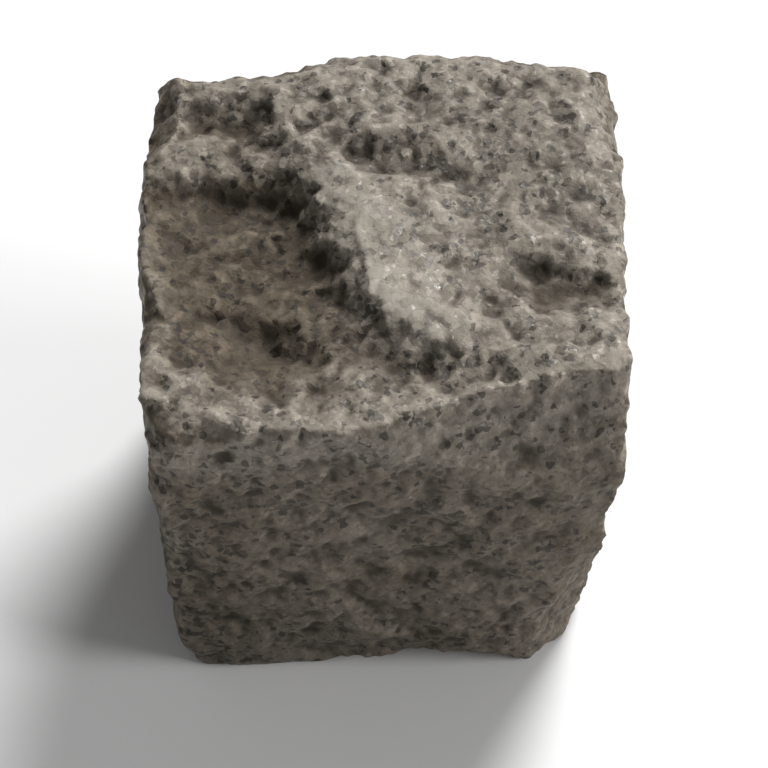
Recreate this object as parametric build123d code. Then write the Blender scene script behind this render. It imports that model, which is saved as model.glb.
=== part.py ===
"""A hand-split granite cobblestone, a sett, standing head up as it is laid in a street.

The stone is one piece. It is made here the way the real one is: a rough block is split down four sides
and across the head, a flake breaks off the front of the head, hammer and traffic knock spalls off the
arrises, and wear takes off what stands proud. Granite breaks in small flat facets, so every surface
that a split, a break or a blow leaves is a sheet of facets, rolling either side of that surface's form.
+X runs along the head, +Y across it towards the back and +Z up. The origin is the middle of the foot.
All sizes are in millimetres.
"""

import os
from collections import namedtuple
from math import ceil, cos, exp, floor, hypot, pi, radians, sin, tanh
from random import Random

from build123d import *

# The head, which shows in the street, and the height from foot to head
HEAD_LENGTH = 100.0
HEAD_WIDTH = 98.0
HEIGHT = 98.0

# How far each side leans in from the head down to the foot
FOOT_INSET = 6.0

# How far each side is turned in plan from square, in degrees, anticlockwise from above
RIGHT_SKEW = 1.0
BACK_SKEW = 0.5
LEFT_SKEW = 1.0
FRONT_SKEW = 2.5

# How far the ends of each side fall back from its middle
SIDE_BELLY = 1.5

# Facets: how far apart their corners are, and how far these stand either side of the surface's form
SIDE_PITCH = 7.0
SIDE_RELIEF = 1.1
HEAD_PITCH = 4.4
HEAD_RELIEF = 1.0
SCAR_PITCH = 5.0
SCAR_RELIEF = 0.7

# How far the facets' corners stray from even spacing, as a share of it, and how much of the relief is
# left where a surface breaks smoothest
FACET_STRAY = 0.38
SMOOTH_SHARE = 0.3

# Broad rolls: how far apart they are, and how far they stand either side of the surface's form
ROLL_PITCH = 28.0
SIDE_ROLL = 1.9
HEAD_ROLL = 0.8
SCAR_ROLL = 1.0

# Swells of the head: place as shares of the half length and half width, then rise, half length,
# half width and turn in degrees
HEAD_SWELLS = (
    ((0.02, 0.02), 3.2, 34.0, 18.0, -60.0),
    ((0.60, 0.55), 1.0, 26.0, 20.0, 20.0),
    ((0.74, -0.40), 1.5, 18.0, 14.0, 0.0),
)

# Ledges where the split across the head jumped down a level: place as shares of the half length and
# half width, the way down in degrees, then drop, half length, and how far the scar runs out
HEAD_LEDGES = (
    ((-0.24, 0.00), 203.0, 6.5, 26.0, 34.0),
    ((-0.66, 0.30), 268.0, 4.6, 18.0, 15.0),
    ((-0.66, 0.74), 258.0, 3.4, 11.0, 12.0),
    ((0.08, 0.44), 245.0, 4.4, 15.0, 14.0),
    ((0.68, -0.18), 262.0, 4.8, 16.0, 14.0),
    ((-0.38, -0.46), 240.0, 4.6, 14.0, 14.0),
    ((0.16, -0.58), 250.0, 3.6, 13.0, 11.0),
)

# How far a ledge takes to drop
LEDGE_RUN = 2.0

# The flake broken off the front of the head: how far it runs along the front from the right corner, and
# how far back and how far down it goes at that corner
BREAK_LENGTH = 62.0
BREAK_DEPTH = 16.0
BREAK_DROP = 38.0

# Spalls knocked off the arrises: place as shares of the half length, half width and height there, then
# the scar's length along the arris and its depth
SPALLS = (
    ((-0.90, -1.0, 1.0), 32.0, 5.0),
    ((-1.0, -0.30, 1.0), 26.0, 2.8),
    ((-1.0, 0.55, 1.0), 30.0, 3.2),
    ((-0.40, 1.0, 1.0), 34.0, 3.2),
    ((0.62, 1.0, 1.0), 24.0, 2.6),
    ((1.0, 0.50, 1.0), 28.0, 3.2),
    ((-1.0, -1.0, 0.58), 42.0, 4.0),
    ((1.0, -1.0, 0.28), 44.0, 4.4),
    ((1.0, 1.0, 0.62), 44.0, 4.2),
    ((-1.0, 1.0, 0.36), 46.0, 4.4),
    ((0.10, -1.0, 0.0), 44.0, 3.0),
    ((1.0, -0.20, 0.0), 40.0, 2.6),
    ((-0.30, 1.0, 0.0), 46.0, 3.2),
    ((-1.0, 0.25, 0.0), 42.0, 2.8),
)

# Wear takes off what stands proud of a rounded block: how far its faces clear the stone's flat sides,
# and the round of its edges
WEAR_CLEARANCE = 2.5
WEAR_RADIUS = 10.0

# The rough block stands out past the finished stone, and a split runs out past what it splits
BLOCK_SPARE = 8.0
SPLIT_SPARE = 9.0

# A surface that a split leaves: its flat plane, how far it runs either way along and across, how far
# apart its facets' corners are, how far they and the broad rolls stand either side, and its form
Split = namedtuple("Split", "plane half_length half_width pitch relief roll form")


def turned(dx, dy, turn):
    """A step in the head's plane, measured along and across a direction in degrees."""
    along = dx * cos(radians(turn)) + dy * sin(radians(turn))
    across = dy * cos(radians(turn)) - dx * sin(radians(turn))
    return along, across


def head_form(x, y):
    """Height of the head's swells and ledges at a point of the head."""
    height = 0.0
    for (share_x, share_y), rise, half_length, half_width, turn in HEAD_SWELLS:
        along, across = turned(x - share_x * HEAD_LENGTH / 2, y - share_y * HEAD_WIDTH / 2, turn)
        height += rise * exp(-((along / half_length) ** 2) - (across / half_width) ** 2)
    for (share_x, share_y), turn, drop, half_length, run_out in HEAD_LEDGES:
        down, across = turned(x - share_x * HEAD_LENGTH / 2, y - share_y * HEAD_WIDTH / 2, turn)
        fall = (1 + tanh(down / LEDGE_RUN)) / 2
        height -= drop * fall * exp(-((max(down, 0) / run_out) ** 2) - (across / half_length) ** 2)
    return height


def side_form(length):
    """The form of a side of this length, which falls from its middle towards its ends."""

    def belly(along, up):
        return SIDE_BELLY * (cos(pi * along / length) - 1)

    return belly


def bowl_form(length, depth):
    """The form of a hollow scar of this length and depth, which rises from its middle."""

    def bowl(along, across):
        return depth * (along**2 + across**2) / (length / 2) ** 2

    return bowl


def flat_form(along, across):
    """The form of a scar that is flat apart from its facets and rolls."""
    return 0.0


def side_plane(distance, facing):
    """The flat plane of a side that faces this way in plan and leans in towards the foot."""
    outwards = Vector(cos(radians(facing)), sin(radians(facing)), 0)
    return Plane(
        origin=outwards * (distance - FOOT_INSET / 2) + Vector(0, 0, HEIGHT / 2),
        x_dir=Vector(0, 0, 1).cross(outwards),
        z_dir=outwards * HEIGHT - Vector(0, 0, FOOT_INSET),
    )


def main_split(plane, length, width, pitch, relief, roll, form):
    """A split right through the rough block."""
    spare = BLOCK_SPARE + SPLIT_SPARE
    return Split(plane, length / 2 + spare, width / 2 + spare, pitch, relief, roll, form)


def side(distance, facing, length):
    """The split that makes a side of the stone."""
    plane = side_plane(distance, facing)
    return main_split(plane, length, HEIGHT, SIDE_PITCH, SIDE_RELIEF, SIDE_ROLL, side_form(length))


def head():
    """The split that makes the head."""
    plane = Plane.XY.offset(HEIGHT)
    return main_split(plane, HEAD_LENGTH, HEAD_WIDTH, HEAD_PITCH, HEAD_RELIEF, HEAD_ROLL, head_form)


SPLITS = {
    "right": side(HEAD_LENGTH / 2, 0 + RIGHT_SKEW, HEAD_WIDTH),
    "back": side(HEAD_WIDTH / 2, 90 + BACK_SKEW, HEAD_LENGTH),
    "left": side(HEAD_LENGTH / 2, 180 + LEFT_SKEW, HEAD_WIDTH),
    "front": side(HEAD_WIDTH / 2, 270 + FRONT_SKEW, HEAD_LENGTH),
    "head": head(),
}
FOOT = -Plane.XY


def rough_block():
    """The block that the stone is split from."""
    length = HEAD_LENGTH + 2 * BLOCK_SPARE
    width = HEAD_WIDTH + 2 * BLOCK_SPARE
    height = HEIGHT + 2 * BLOCK_SPARE
    return Pos(0, 0, HEIGHT / 2) * Box(length, width, height)


def chance(*seed):
    """Random numbers that are always the same for one named place."""
    return Random(" ".join(str(word) for word in seed))


def ease(share):
    """A smooth rise from 0 to 1."""
    return share * share * (3 - 2 * share)


def rolling(name, along, across):
    """A number from -1 to 1 that rolls gently from place to place over a surface."""
    column = floor(along / ROLL_PITCH)
    row = floor(across / ROLL_PITCH)
    level = 0.0
    for c in (column, column + 1):
        for r in (row, row + 1):
            share = ease(1 - abs(along / ROLL_PITCH - c)) * ease(1 - abs(across / ROLL_PITCH - r))
            level += share * chance(name, c, r).uniform(-1, 1)
    return level


def facet_corner(name, face, column, row):
    """A corner of the facets of a riven surface."""
    dice = chance(name, "corner", column, row)
    along = (column + dice.uniform(-FACET_STRAY, FACET_STRAY)) * face.pitch
    across = (row + dice.uniform(-FACET_STRAY, FACET_STRAY)) * face.pitch
    rough = SMOOTH_SHARE + (1 - SMOOTH_SHARE) * (1 + rolling(name + " rough", along, across)) / 2
    height = face.form(along, across) + face.roll * rolling(name + " roll", along, across)
    height += rough * dice.uniform(-face.relief, face.relief)
    return face.plane.from_local_coords((along, across, height))


def riven_surface(name, face):
    """The facets that a split leaves."""
    columns = ceil(face.half_length / face.pitch)
    rows = ceil(face.half_width / face.pitch)
    facets = []
    for column in range(-columns, columns):
        for row in range(-rows, rows):
            near = facet_corner(name, face, column, row)
            right = facet_corner(name, face, column + 1, row)
            far = facet_corner(name, face, column + 1, row + 1)
            left = facet_corner(name, face, column, row + 1)
            if chance(name, "turn", column, row).random() < 0.5:
                triangles = ((near, right, far), (near, far, left))
            else:
                triangles = ((near, right, left), (right, far, left))
            facets += [Face(Wire.make_polygon(triangle)) for triangle in triangles]
    return Shell(facets)


def largest(pieces):
    """The stone itself, of the pieces that a split leaves."""
    return max(pieces, key=lambda piece: piece.volume)


def riven_block():
    """The block after its four sides and its head are split, with sharp arrises and a flat foot."""
    block = split(rough_block(), bisect_by=FOOT, keep=Keep.BOTTOM).solid()
    for name, face in SPLITS.items():
        block = largest(block.split(riven_surface(name, face), keep=Keep.ALL))
    return block


def break_scar():
    """The scar of the flake at the front of the head."""
    corner = Vector(HEAD_LENGTH / 2, -HEAD_WIDTH / 2, HEIGHT)
    start = corner - Vector(BREAK_LENGTH, 0, 0)
    back = corner + Vector(0, BREAK_DEPTH, 0)
    end = corner - Vector(0, 0, BREAK_DROP)
    middle = (start + back + end) / 3
    plane = Plane(origin=middle, x_dir=back - start, z_dir=(end - start).cross(back - start))
    half_length = hypot(BREAK_LENGTH, BREAK_DEPTH) * 2 / 3 + SPLIT_SPARE
    half_width = hypot(BREAK_DROP, BREAK_DEPTH) * 2 / 3 + SPLIT_SPARE
    return Split(plane, half_length, half_width, SCAR_PITCH, SCAR_RELIEF, SCAR_ROLL, flat_form)


def spall_scar(block, place, length, depth):
    """The hollow scar where a blow from outside meets the block."""
    share_x, share_y, share_z = place
    inset = FOOT_INSET * (1 - share_z)
    mark = Vector(share_x * (HEAD_LENGTH / 2 - inset), share_y * (HEAD_WIDTH / 2 - inset), share_z * HEIGHT)
    outside = (mark - Vector(0, 0, HEIGHT / 2)).normalized()
    blow = Axis(mark + outside * 2 * BLOCK_SPARE, -outside)
    struck = block.find_intersection_points(blow)[0][0]
    plane = Plane(origin=struck - outside * depth, z_dir=outside)
    reach = length / 2 + SPLIT_SPARE
    return Split(plane, reach, reach, SCAR_PITCH, SCAR_RELIEF, SCAR_ROLL, bowl_form(length, depth))


def wear_envelope():
    """A block with flat faces and round edges, which clears the stone's flats but not its arrises."""
    block = rough_block()
    for plane in (*(face.plane for face in SPLITS.values()), FOOT):
        block = split(block, bisect_by=plane.offset(WEAR_CLEARANCE), keep=Keep.BOTTOM)
    return fillet(block.edges(), WEAR_RADIUS)


def cobblestone():
    """The finished stone, with the origin in the middle of its foot."""
    block = riven_block()
    scars = {"break": break_scar()}
    for scar in SPALLS:
        scars[f"spall {len(scars)}"] = spall_scar(block, *scar)
    stone = block
    for name, face in scars.items():
        stone = largest(stone.split(riven_surface(name, face), keep=Keep.ALL))
    stone = (stone & wear_envelope()).solid()
    box = stone.bounding_box()
    return Pos(-box.center().X, -box.center().Y, -box.min.Z) * stone


os.makedirs("parts", exist_ok=True)
export_step(cobblestone(), "parts/cobblestone.step")
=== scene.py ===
"""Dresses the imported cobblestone: riven granite relief and finish, with a floor, lights and a camera."""

from math import cos, radians, sin

import bpy
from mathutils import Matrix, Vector


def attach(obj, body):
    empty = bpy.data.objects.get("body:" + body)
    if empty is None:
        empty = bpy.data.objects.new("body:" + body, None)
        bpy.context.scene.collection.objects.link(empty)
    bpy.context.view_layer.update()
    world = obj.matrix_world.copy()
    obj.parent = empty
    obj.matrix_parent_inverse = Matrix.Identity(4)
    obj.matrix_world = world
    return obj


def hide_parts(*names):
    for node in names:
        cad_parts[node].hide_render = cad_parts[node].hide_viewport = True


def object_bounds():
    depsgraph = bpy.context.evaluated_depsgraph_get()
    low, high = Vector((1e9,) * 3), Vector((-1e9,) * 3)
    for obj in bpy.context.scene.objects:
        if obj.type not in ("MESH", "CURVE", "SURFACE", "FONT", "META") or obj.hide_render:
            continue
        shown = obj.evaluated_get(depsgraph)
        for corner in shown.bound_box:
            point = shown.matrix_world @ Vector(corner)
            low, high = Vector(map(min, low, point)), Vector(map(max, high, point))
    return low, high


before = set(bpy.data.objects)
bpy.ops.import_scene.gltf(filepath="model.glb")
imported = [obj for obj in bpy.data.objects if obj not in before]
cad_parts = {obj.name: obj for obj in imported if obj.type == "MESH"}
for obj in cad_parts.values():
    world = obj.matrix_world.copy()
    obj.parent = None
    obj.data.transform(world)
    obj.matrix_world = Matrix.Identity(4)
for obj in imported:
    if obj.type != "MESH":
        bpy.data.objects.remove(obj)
cad_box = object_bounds()

# Blender's own lengths are in metres, and sizes of the stone's relief and finish in millimetres
MM = 0.001
HEAD_TOP = cad_box[1][2] / MM

# Camera: the photo's angle on the stone, the width of the view there and the point that it looks at
CAMERA_AZIMUTH = 0.0
CAMERA_ELEVATION = 54.0
CAMERA_LENS_MM = 135.0
VIEW_WIDTH = 0.166
VIEW_AIM = Vector((0.0, 0.0, 0.046))

# Lights: azimuth, elevation and spread in degrees, and strength in watts per square metre
LIGHTS = {
    "key": (154.0, 40.0, 22.0, 4.3),
    "fill": (80.0, 20.0, 21.0, 2.0),
}
LIGHT_REACH = 1.0
SKY_COLOUR = (1.0, 1.0, 1.0, 1)
SKY_STRENGTH = 0.21

# Floor
FLOOR_SIZE = 20.0
FLOOR_COLOUR = (0.80, 0.80, 0.80, 1)
FLOOR_ROUGHNESS = 0.9

# Mesh of the stone: how close points merge, its fineness before and after the relief, and its triangles
MERGE_DISTANCE = 0.01 * MM
CUTTING_VOXEL = 0.5 * MM
FINAL_VOXEL = 0.45 * MM
TRIANGLES = 190000

# Angle in degrees past which an edge of the stone's mesh stays sharp
CREASE = 24.0

# Mesh steps over which the surface's average is taken: few find narrow forms, and many find broad ones
CREVICE_STEPS = 36
ARRIS_STEPS = 60
PROUD_STEPS = 160
HOLLOW_STEPS = 190
CHIP_STEPS = 240

# A rise gives where a smooth rise from 0 to 1 starts and ends
# A noise gives the size of its lumps, how many finer layers it has and how strong these are
# A bend gives the size of the noise that bends a pattern's borders, and how far it pushes them
BEND_LAYERS = (2.0, 0.5)

# Middle of the range of noise and of a crystal's random colour
HALF = (0.5, 0.5, 0.5)

# Facets of broken crystals: their size, their reach either side and the turn of their grain in radians
FACETS = (
    (9.0, 0.90, (0.9, 1.7, 1.2)),
    (4.4, 0.55, (0.4, 0.2, 0.7)),
    (2.2, 0.42, (1.3, 0.6, 2.1)),
    (1.2, 0.22, (2.2, 1.1, 0.3)),
)

# The facets' bend, in shares of their size, and the height over which they start above the flat foot
FACET_BEND = (1.6, 0.7)
FOOT_RISE = (0.1, 3.0)

# Arrises: the bulge of one, how far wear takes it back, and how much lower facets are there
ARRIS_RISE = (0.6, 1.5)
ARRIS_WEAR = 0.55
ARRIS_SMOOTHING = 0.2

# Chips on the arrises: where they are, the bulge of what can chip, and their depth as a share of it
CHIP_NOISE = (17.0, 4.0, 0.55)
CHIP_RISE = (0.47, 0.62)
CHIP_BULGE_RISE = (0.2, 1.1)
CHIP_DEPTH = 0.9

# Crest of the head that traffic has worn flat and pale, its paleness partly a painted highlight: its
# middle, its run, its half sizes and its bend
CREST_MIDDLE = (-1.0, -5.5, 0.0)
CREST_RUN = Vector((0.52, -0.86, 0.0)).normalized()
CREST_HALF_LENGTH = 27.0
CREST_HALF_WIDTH = 9.0
CREST_BEND = (7.0, 9.0)

# Where the crest's wear ends, as the square of a share of its half sizes
CREST_END = 1.5

# Wear by traffic: on what faces up, by how proud it stands and by how near the crest it is
WORN_FACING_RISE = (0.75, 0.97)
PROUD_RISE = (0.0, 0.6)
PROUD_WEAR = 0.55
CREST_WEAR = 0.75

# How much lower facets are where traffic wears the stone
WORN_SMOOTHING = 0.60

# Where soil stains: how far below the top of the head, on what faces up and on the sides
LOW_RISE = (2.0, 7.5)
LOW_FACING_RISE = (0.35, 0.8)
SIDE_RISE = (9.5, 21.5)
SIDE_FACING_RISE = (0.2, 0.6)

# Crystals of the granite, in two sizes
CRYSTAL_SIZE = 1.9
CRYSTAL_BEND = (1.6, 0.7)
SMALL_CRYSTAL_SIZE = 0.9
SMALL_CRYSTAL_BEND = (0.7, 0.3)

# Colours of the minerals from dark to pale, each after its place in the mix
MINERALS = (
    (0.24, (0.095, 0.082, 0.066)),
    (0.42, (0.162, 0.142, 0.116)),
    (0.50, (0.196, 0.173, 0.142)),
    (0.65, (0.226, 0.200, 0.165)),
    (0.82, (0.300, 0.268, 0.224)),
)

# Shares of that mix: crystals, small crystals, mottle and blotches
MINERAL_SHARES = (0.39, 0.21, 0.14, 0.26)
MOTTLE_NOISE = (0.6, 3.0, 0.7)
BLOTCH_NOISE = (7.0, 3.0, 0.6)

# Flakes of black mica, which gather in the dark blotches
MICA_SIZE = 1.3
MICA_BEND = (0.8, 0.5)
MICA_RISE = (1.23, 1.26)
MICA_GATHERING = 0.7
MICA_COVER = 0.75
MICA_COLOUR = (0.022, 0.018, 0.014, 1)

# Rubbed, paler stone: on small edges, short of the arrises, and where traffic wears it, there paler partly
# as a painted highlight
EDGE_RISE = (0.03, 0.28)
EDGE_END_RISE = (0.35, 0.70)
EDGE_RUB = 0.3
WORN_RUB_AND_HIGHLIGHT = 0.6
RUBBED_AND_HIGHLIGHT_TINT = (1.5, 1.49, 1.46, 1)
CREST_BLEACH_AND_HIGHLIGHT = 0.45
PALE_CREST_AND_HIGHLIGHT_COLOUR = (0.345, 0.316, 0.272, 1)

# Soil: a thin stain, and soil with painted shade that darkens crevices and hollows, both in patches
CLOUD_NOISE = (24.0, 4.0, 0.6)
SIDE_STAIN = 0.5
UNWORN_STAIN = 0.15
STAIN_PATCHES = 1.2
STAIN_LEAST = 0.4
STAIN_RISE = (0.0, 1.1)
STAIN_TINT = (0.46, 0.415, 0.36, 1)
CREVICE_RISE = (0.02, 0.40)
CREVICE_SOIL_AND_SHADE = 0.60
HOLLOW_RISE = (0.0, 0.55)
HOLLOW_SOIL_AND_SHADE = 0.45
SOIL_AND_SHADE_PATCHES = 1.2
SOIL_AND_SHADE_LEAST = 0.35
SOIL_AND_SHADE_COLOUR = (0.046, 0.036, 0.025, 1)

# Gloss: the roughness of plain broken stone, and how far what is smoother or stained departs from it
BROKEN_ROUGHNESS = 0.84
WORN_GLOSS = 0.10
MICA_GLOSS = 0.20
CRYSTAL_GLOSS = 0.12
GLINT_GLOSS = 0.30
GLINT_RISE = (0.84, 0.88)
STAIN_ROUGHNESS = 0.16
SPECULAR_LEVEL = 0.35

# Bump: the tilted faces of crystals and the grit on them, both lower where traffic wears the stone
BUMP_STRENGTH = 0.9
BUMP_DISTANCE = 1.0 * MM
FACE_BUMP = 0.80
GRIT_NOISE = (0.5, 3.0, 0.7)
GRIT_BUMP = 0.16
WORN_POLISH = 0.5


class Wire:
    """A node's output, so that sums on values can be written as plain expressions."""

    def __init__(self, board, socket):
        self.board = board
        self.socket = socket

    def out(self, name):
        """Another output of the same node."""
        return Wire(self.board, pick(self.socket.node.outputs, name))

    def __add__(self, other):
        return self.board.sum("ADD", self, other)

    def __sub__(self, other):
        return self.board.sum("SUBTRACT", self, other)

    def __rsub__(self, other):
        return self.board.sum("SUBTRACT", other, self)

    def __mul__(self, other):
        return self.board.sum("MULTIPLY", self, other)

    __radd__ = __add__
    __rmul__ = __mul__


def pick(sockets, name):
    """The socket in use with this name, or the one at this index."""
    if isinstance(name, int):
        return sockets[name]
    return next(socket for socket in sockets if socket.enabled and socket.name == name)


class Board:
    """A node tree that is filled one node at a time."""

    def __init__(self, tree):
        self.tree = tree
        tree.nodes.clear()

    def add(self, kind, settings=None, sockets=None, out=0):
        """Adds a node, its settings first and then the values or links of its sockets."""
        node = self.tree.nodes.new(kind)
        for name, value in (settings or {}).items():
            if name == "stops":
                self.set_stops(node.color_ramp, value)
            else:
                setattr(node, name, value)
        for name, value in (sockets or {}).items():
            if isinstance(value, Wire):
                self.tree.links.new(value.socket, pick(node.inputs, name))
            else:
                pick(node.inputs, name).default_value = value
        return Wire(self, pick(node.outputs, out)) if node.outputs else None

    @staticmethod
    def set_stops(ramp, stops):
        """Gives a colour ramp its stops, each a place and a colour."""
        while len(ramp.elements) < len(stops):
            ramp.elements.new(1.0)
        for element, (place, colour) in zip(ramp.elements, stops):
            element.position = place
            element.color = (*colour, 1.0)

    def sum(self, operation, first, second):
        """A sum on two values."""
        return self.add("ShaderNodeMath", {"operation": operation}, {0: first, 1: second})

    def vector(self, operation, first, second=None, scale=None, out=0):
        """A sum on one or two vectors."""
        sockets = {0: first}
        if second is not None:
            sockets[1] = second
        if scale is not None:
            sockets["Scale"] = scale
        return self.add("ShaderNodeVectorMath", {"operation": operation}, sockets, out)

    def dot(self, first, second):
        """How far one vector goes along another."""
        return self.vector("DOT_PRODUCT", first, second, out="Value")

    def ease(self, value, low, high):
        """0 below low, 1 above high and a smooth rise between them."""
        return self.add(
            "ShaderNodeMapRange",
            {"interpolation_type": "SMOOTHSTEP"},
            {"Value": value, "From Min": low, "From Max": high},
        )

    def noise(self, place, size, detail, rough, out="Fac"):
        """Cloudy noise whose lumps are about this size."""
        sockets = {"Vector": place, "Scale": 1.0 / size, "Detail": detail, "Roughness": rough}
        return self.add("ShaderNodeTexNoise", {}, sockets, out)

    def cells(self, place, size, out):
        """Cells of about this size, one round each of many scattered points."""
        return self.add("ShaderNodeTexVoronoi", {}, {"Vector": place, "Scale": 1.0 / size}, out)

    def mix(self, share, first, second, blend="MIX"):
        """A mix of two colours."""
        return self.add(
            "ShaderNodeMix",
            {"data_type": "RGBA", "blend_type": blend},
            {"Factor": share, "A": first, "B": second},
            "Result",
        )

    def split(self, vector):
        """The three parts of a vector."""
        first = self.add("ShaderNodeSeparateXYZ", {}, {0: vector}, "X")
        return first, first.out("Y"), first.out("Z")

    def join(self, x, y, z):
        """A vector from its three parts."""
        return self.add("ShaderNodeCombineXYZ", {}, {0: x, 1: y, 2: z})

    def warp(self, place, size, reach):
        """A place pushed about by noise, so that a pattern loses its straight borders."""
        push = self.vector("SUBTRACT", self.noise(place, size, *BEND_LAYERS, "Color"), HALF)
        return self.vector("ADD", place, self.vector("SCALE", push, scale=reach))

    def facets(self, place, size, turn):
        """Flat facets of about this size that meet edge to edge, as heights from -1 to 1.

        Space is cut into tetrahedra, whose corners get random heights, with straight slopes between.
        """
        rotated = self.add(
            "ShaderNodeVectorRotate", {"rotation_type": "EULER_XYZ"}, {"Vector": place, "Rotation": turn}
        )
        bend, reach = FACET_BEND
        spot = self.vector("SCALE", self.warp(rotated, size * bend, size * reach), scale=1.0 / size)
        corner = self.vector("FLOOR", spot)
        inside = self.vector("FRACTION", spot)
        x, y, z = self.split(inside)
        x_leads = self.sum("GREATER_THAN", x, y)
        y_leads = self.sum("GREATER_THAN", y, z)
        z_leads = self.sum("GREATER_THAN", z, x)
        leads = self.join(x_leads, y_leads, z_leads)
        trails = self.join(1 - z_leads, 1 - x_leads, 1 - y_leads)
        longest = self.vector("MINIMUM", leads, trails)
        longer_two = self.vector("MAXIMUM", leads, trails)
        first = self.dot(inside, longest)
        first_two = self.dot(inside, longer_two)
        second = first_two - first
        third = x + y + z - first_two
        height = 0.0
        for step, share in (
            ((0.0, 0.0, 0.0), 1 - first),
            (longest, first - second),
            (longer_two, second - third),
            ((1.0, 1.0, 1.0), third),
        ):
            knot = self.vector("ADD", corner, step)
            height = height + share * self.add("ShaderNodeTexWhiteNoise", {}, {"Vector": knot}, "Value")
        return height * 2 - 1


def only(piece):
    """Selects one object and makes it the active one."""
    bpy.ops.object.select_all(action="DESELECT")
    piece.select_set(True)
    bpy.context.view_layer.objects.active = piece


def apply_all(piece):
    """Applies a piece's modifiers from first to last."""
    only(piece)
    for modifier in list(piece.modifiers):
        bpy.ops.object.modifier_apply(modifier=modifier.name)


def even_mesh(piece, voxel):
    """Meshes a piece anew in even steps, so that nothing folds or crosses."""
    remesh = piece.modifiers.new("even mesh", "REMESH")
    remesh.mode = "VOXEL"
    remesh.voxel_size = voxel
    remesh.use_smooth_shade = True
    apply_all(piece)


def stone_blank():
    """A copy of the CAD stone as one fine, even mesh, ready for its relief."""
    only(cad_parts["cobblestone"])
    bpy.ops.object.duplicate()
    stone = bpy.context.active_object
    stone.name = "granite_sett"
    bpy.ops.object.mode_set(mode="EDIT")
    bpy.ops.mesh.select_all(action="SELECT")
    bpy.ops.mesh.remove_doubles(threshold=MERGE_DISTANCE)
    bpy.ops.object.mode_set(mode="OBJECT")
    even_mesh(stone, CUTTING_VOXEL)
    return stone


def new_tree(name):
    """A board for a new tree that takes a mesh in and gives one out."""
    tree = bpy.data.node_groups.new(name, "GeometryNodeTree")
    for way in ("INPUT", "OUTPUT"):
        tree.interface.new_socket("Geometry", in_out=way, socket_type="NodeSocketGeometry")
    return Board(tree)


def run_tree(piece, board, mesh):
    """Ends a tree with this mesh and runs it on a piece."""
    board.add("NodeGroupOutput", {}, {"Geometry": mesh})
    modifier = piece.modifiers.new(board.tree.name, "NODES")
    modifier.node_group = board.tree
    apply_all(piece)


def in_millimetres(board, place):
    """A place that is given in metres, in millimetres."""
    return board.vector("SCALE", place, scale=1.0 / MM)


def surface(board):
    """Each point's place in millimetres, its normal, its height and how far it faces up."""
    place = in_millimetres(board, board.add("GeometryNodeInputPosition"))
    normal = board.add("GeometryNodeInputNormal")
    return place, normal, board.split(place)[2], board.split(normal)[2]


def average(board, steps):
    """The surface's own average place, taken over so many mesh steps."""
    return board.add(
        "GeometryNodeBlurAttribute",
        {"data_type": "FLOAT_VECTOR"},
        {"Value": board.add("GeometryNodeInputPosition"), "Iterations": steps},
    )


def bulge(board, steps):
    """How far the surface stands out, in millimetres, from its own average over so many mesh steps."""
    stand = board.vector("SUBTRACT", board.add("GeometryNodeInputPosition"), average(board, steps))
    return board.dot(stand, board.add("GeometryNodeInputNormal")) * (1.0 / MM)


def arrises(board):
    """Where the stone turns a corner, from 0 to 1."""
    return board.ease(bulge(board, ARRIS_STEPS), *ARRIS_RISE)


def chipping(board, arris):
    """How wear takes arrises back towards the surface's average, with deeper chips here and there."""
    point = board.add("GeometryNodeInputPosition")
    blunt = average(board, CHIP_STEPS)
    chip = board.ease(board.noise(in_millimetres(board, blunt), *CHIP_NOISE), *CHIP_RISE)
    chip = chip * board.ease(bulge(board, CHIP_STEPS), *CHIP_BULGE_RISE)
    wear = board.vector("SUBTRACT", average(board, ARRIS_STEPS), point)
    wear = board.vector("SCALE", wear, scale=arris * ARRIS_WEAR * (1 - chip))
    deep = board.vector("SCALE", board.vector("SUBTRACT", blunt, point), scale=chip * CHIP_DEPTH)
    return board.vector("ADD", wear, deep)


def traffic(board, place, upward):
    """Where traffic wears the head, from 0 to 1: on all that stands up, and most on its crest."""
    from_crest = board.vector("SUBTRACT", board.warp(place, *CREST_BEND), CREST_MIDDLE)
    across_run = CREST_RUN.cross(Vector((0.0, 0.0, 1.0)))
    along = board.dot(from_crest, CREST_RUN / CREST_HALF_LENGTH)
    across = board.dot(from_crest, across_run / CREST_HALF_WIDTH)
    crest = board.ease(CREST_END - along * along - across * across, 0.0, 1.0)
    proud = board.ease(bulge(board, PROUD_STEPS), *PROUD_RISE)
    wear = proud * PROUD_WEAR + crest * CREST_WEAR
    return wear * board.ease(upward, *WORN_FACING_RISE) * (1 - arrises(board))


def cut_relief(stone):
    """Chips the arrises and cuts the small facets of broken crystals all over the stone but its foot."""
    board = new_tree("riven relief")
    mesh = board.add("NodeGroupInput")
    place, normal, height, upward = surface(board)
    arris = arrises(board)
    rough = 0.0
    for size, reach, turn in FACETS:
        rough = rough + board.facets(place, size, turn) * reach
    rough = rough * (1 - traffic(board, place, upward) * WORN_SMOOTHING) * (1 - arris * ARRIS_SMOOTHING)
    rough = rough * board.ease(height, *FOOT_RISE)
    push = board.vector("ADD", board.vector("SCALE", normal, scale=rough * MM), chipping(board, arris))
    mesh = board.add("GeometryNodeSetPosition", {}, {"Geometry": mesh, "Offset": push})
    run_tree(stone, board, mesh)
    even_mesh(stone, FINAL_VOXEL)


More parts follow.
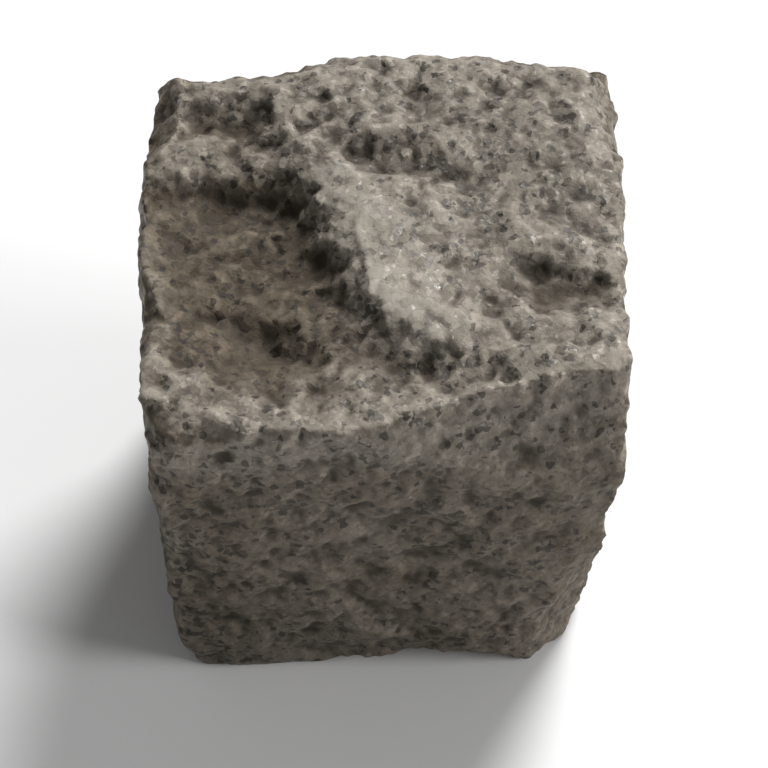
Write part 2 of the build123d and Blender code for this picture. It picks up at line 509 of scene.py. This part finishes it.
def mark_finish(stone):
    """Keeps on the mesh what the finish needs: what is worn, low, on the sides, proud or hollow."""
    board = new_tree("marks for the finish")
    mesh = board.add("NodeGroupInput")
    place, _, height, upward = surface(board)
    depth = HEAD_TOP - height
    marks = {
        "worn": traffic(board, place, upward),
        "low": board.ease(depth, *LOW_RISE) * board.ease(upward, *LOW_FACING_RISE),
        "side": board.ease(depth, *SIDE_RISE) * (1 - board.ease(upward, *SIDE_FACING_RISE)),
        "crevice": bulge(board, CREVICE_STEPS),
        "hollow": bulge(board, HOLLOW_STEPS),
    }
    for name, value in marks.items():
        sockets = {"Geometry": mesh, "Name": name, "Value": value}
        mesh = board.add("GeometryNodeStoreNamedAttribute", {}, sockets)
    run_tree(stone, board, mesh)


def thin_mesh(stone):
    """Thins the mesh, whose faces have four sides, to its triangles and keeps its creases sharp."""
    thin = stone.modifiers.new("thin", "DECIMATE")
    thin.ratio = TRIANGLES / (2 * len(stone.data.polygons))
    apply_all(stone)
    bpy.ops.object.shade_smooth_by_angle(angle=radians(CREASE))


def mark(board, name):
    """What the mesh keeps for the finish under this name."""
    return board.add("ShaderNodeAttribute", {"attribute_name": name}, {}, "Fac")


def crystals(board, place):
    """Kinds of the large and the small crystals, from 0 to 1, and heights of the large ones' faces."""
    bent = board.warp(place, *CRYSTAL_BEND)
    crystal = board.cells(bent, CRYSTAL_SIZE, "Color")
    from_centre = board.vector("SUBTRACT", bent, board.cells(bent, CRYSTAL_SIZE, "Position"))
    face = board.dot(from_centre, board.vector("SUBTRACT", crystal, HALF))
    small_crystal = board.cells(board.warp(place, *SMALL_CRYSTAL_BEND), SMALL_CRYSTAL_SIZE, "Color")
    return board.split(crystal)[0], board.split(small_crystal)[2], face


def minerals(board, place, kind, small):
    """The colour of pale feldspar and grey quartz with black mica between, and where the mica is."""
    mottle = board.noise(place, *MOTTLE_NOISE)
    blotch = board.noise(place, *BLOTCH_NOISE)
    tone = 0.0
    for part, share in zip((kind, small, mottle, blotch), MINERAL_SHARES):
        tone = tone + part * share
    colour = board.add("ShaderNodeValToRGB", {"stops": MINERALS}, {"Fac": tone})
    flake = board.split(board.cells(board.warp(place, *MICA_BEND), MICA_SIZE, "Color"))[1]
    mica = board.ease(flake + (1 - blotch) * MICA_GATHERING, *MICA_RISE)
    return board.mix(mica * MICA_COVER, colour, MICA_COLOUR), mica


def weathered(board, place, colour):
    """The colour once it is rubbed, with a painted highlight on worn tops, stained and with soil and
    painted shade in its hollows, and the stain by itself.
    """
    worn = mark(board, "worn")
    crevice = mark(board, "crevice")
    cloud = board.noise(place, *CLOUD_NOISE)
    edge = board.ease(crevice, *EDGE_RISE) - board.ease(crevice, *EDGE_END_RISE)
    # Paler on small rubbed edges and on worn tops and the crest, where the paleness is partly a painted
    # highlight
    colour = board.mix(edge * EDGE_RUB + worn * WORN_RUB_AND_HIGHLIGHT, colour, RUBBED_AND_HIGHLIGHT_TINT, "MULTIPLY")
    colour = board.mix(worn * worn * CREST_BLEACH_AND_HIGHLIGHT, colour, PALE_CREST_AND_HIGHLIGHT_COLOUR)
    stain = mark(board, "low") + mark(board, "side") * SIDE_STAIN + (1 - worn) * UNWORN_STAIN
    stain = board.ease(stain * (cloud * STAIN_PATCHES + STAIN_LEAST), *STAIN_RISE)
    colour = board.mix(stain, colour, STAIN_TINT, "MULTIPLY")
    # Soil in the crevices and hollows, which also darkens them as painted shade
    soil_and_shade = board.ease(crevice * -1, *CREVICE_RISE) * CREVICE_SOIL_AND_SHADE
    soil_and_shade = soil_and_shade + board.ease(mark(board, "hollow") * -1, *HOLLOW_RISE) * HOLLOW_SOIL_AND_SHADE
    colour = board.mix(soil_and_shade * (cloud * SOIL_AND_SHADE_PATCHES + SOIL_AND_SHADE_LEAST), colour, SOIL_AND_SHADE_COLOUR)
    return colour, stain


def granite():
    """Riven granite: warm grey crystals with dark mica, soil and painted shade in the hollows, and worn
    crests made paler, partly as a painted highlight.
    """
    material = bpy.data.materials.new("granite")
    material.use_nodes = True
    board = Board(material.node_tree)
    place = in_millimetres(board, board.add("ShaderNodeTexCoord", {}, {}, "Object"))
    kind, small, face = crystals(board, place)
    colour, mica = minerals(board, place, kind, small)
    colour, stain = weathered(board, place, colour)
    worn = mark(board, "worn")
    glint = board.ease(small, *GLINT_RISE) * (1 - stain)
    rough = BROKEN_ROUGHNESS - worn * WORN_GLOSS - mica * MICA_GLOSS - kind * CRYSTAL_GLOSS
    rough = rough - glint * GLINT_GLOSS + stain * STAIN_ROUGHNESS
    grit = board.noise(place, *GRIT_NOISE)
    height = (face * FACE_BUMP + grit * GRIT_BUMP) * (1 - worn * WORN_POLISH)
    bump = board.add(
        "ShaderNodeBump",
        {},
        {"Strength": BUMP_STRENGTH, "Distance": BUMP_DISTANCE, "Height": height},
    )
    shader = board.add(
        "ShaderNodeBsdfPrincipled",
        {},
        {"Base Color": colour, "Roughness": rough, "Specular IOR Level": SPECULAR_LEVEL, "Normal": bump},
    )
    board.add("ShaderNodeOutputMaterial", {}, {"Surface": shader})
    return material


def cobblestone():
    """The stone as it shows: the CAD solid with riven relief, in granite."""
    stone = stone_blank()
    cut_relief(stone)
    mark_finish(stone)
    thin_mesh(stone)
    stone.data.materials.clear()
    stone.data.materials.append(granite())
    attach(stone, "root")
    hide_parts("cobblestone")


def direction(azimuth, elevation):
    """The way from the stone to something seen at this azimuth and elevation, in degrees."""
    around = radians(azimuth)
    up = radians(elevation)
    return Vector((sin(around) * cos(up), -cos(around) * cos(up), sin(up)))


def aim(name, data, back, reach):
    """Places a camera or a light this far back from the point that is looked at, and turns it there."""
    thing = bpy.data.objects.new(name, data)
    thing.location = VIEW_AIM + back * reach
    thing.rotation_euler = back.to_track_quat("Z", "Y").to_euler()
    bpy.context.scene.collection.objects.link(thing)
    return thing


def camera():
    """A long lens at the photo's angle."""
    data = bpy.data.cameras.new("camera")
    data.lens = CAMERA_LENS_MM
    reach = VIEW_WIDTH * CAMERA_LENS_MM / data.sensor_width
    back = direction(CAMERA_AZIMUTH, CAMERA_ELEVATION)
    bpy.context.scene.camera = aim("camera", data, back, reach)


def floor():
    """A plain pale floor under the stone."""
    bpy.ops.mesh.primitive_plane_add(size=FLOOR_SIZE)
    ground = bpy.context.active_object
    ground.name = "floor"
    material = bpy.data.materials.new("floor")
    material.use_nodes = True
    shader = material.node_tree.nodes["Principled BSDF"]
    shader.inputs["Base Color"].default_value = FLOOR_COLOUR
    shader.inputs["Roughness"].default_value = FLOOR_ROUGHNESS
    ground.data.materials.append(material)


def lamp(name, azimuth, elevation, spread, strength):
    """A far light that is soft because it spreads over so many degrees."""
    data = bpy.data.lights.new(name, "SUN")
    data.angle = radians(spread)
    data.energy = strength
    aim(name, data, direction(azimuth, elevation), LIGHT_REACH)


def studio():
    """A key light from behind and to the right, as in the photo, and a low fill that rakes the front."""
    for name, light in LIGHTS.items():
        lamp(name, *light)
    world = bpy.data.worlds.new("sky")
    world.use_nodes = True
    backdrop = world.node_tree.nodes["Background"]
    backdrop.inputs["Color"].default_value = SKY_COLOUR
    backdrop.inputs["Strength"].default_value = SKY_STRENGTH
    bpy.context.scene.world = world
    bpy.context.scene.view_settings.view_transform = "Standard"


camera()
cobblestone()
floor()
studio()
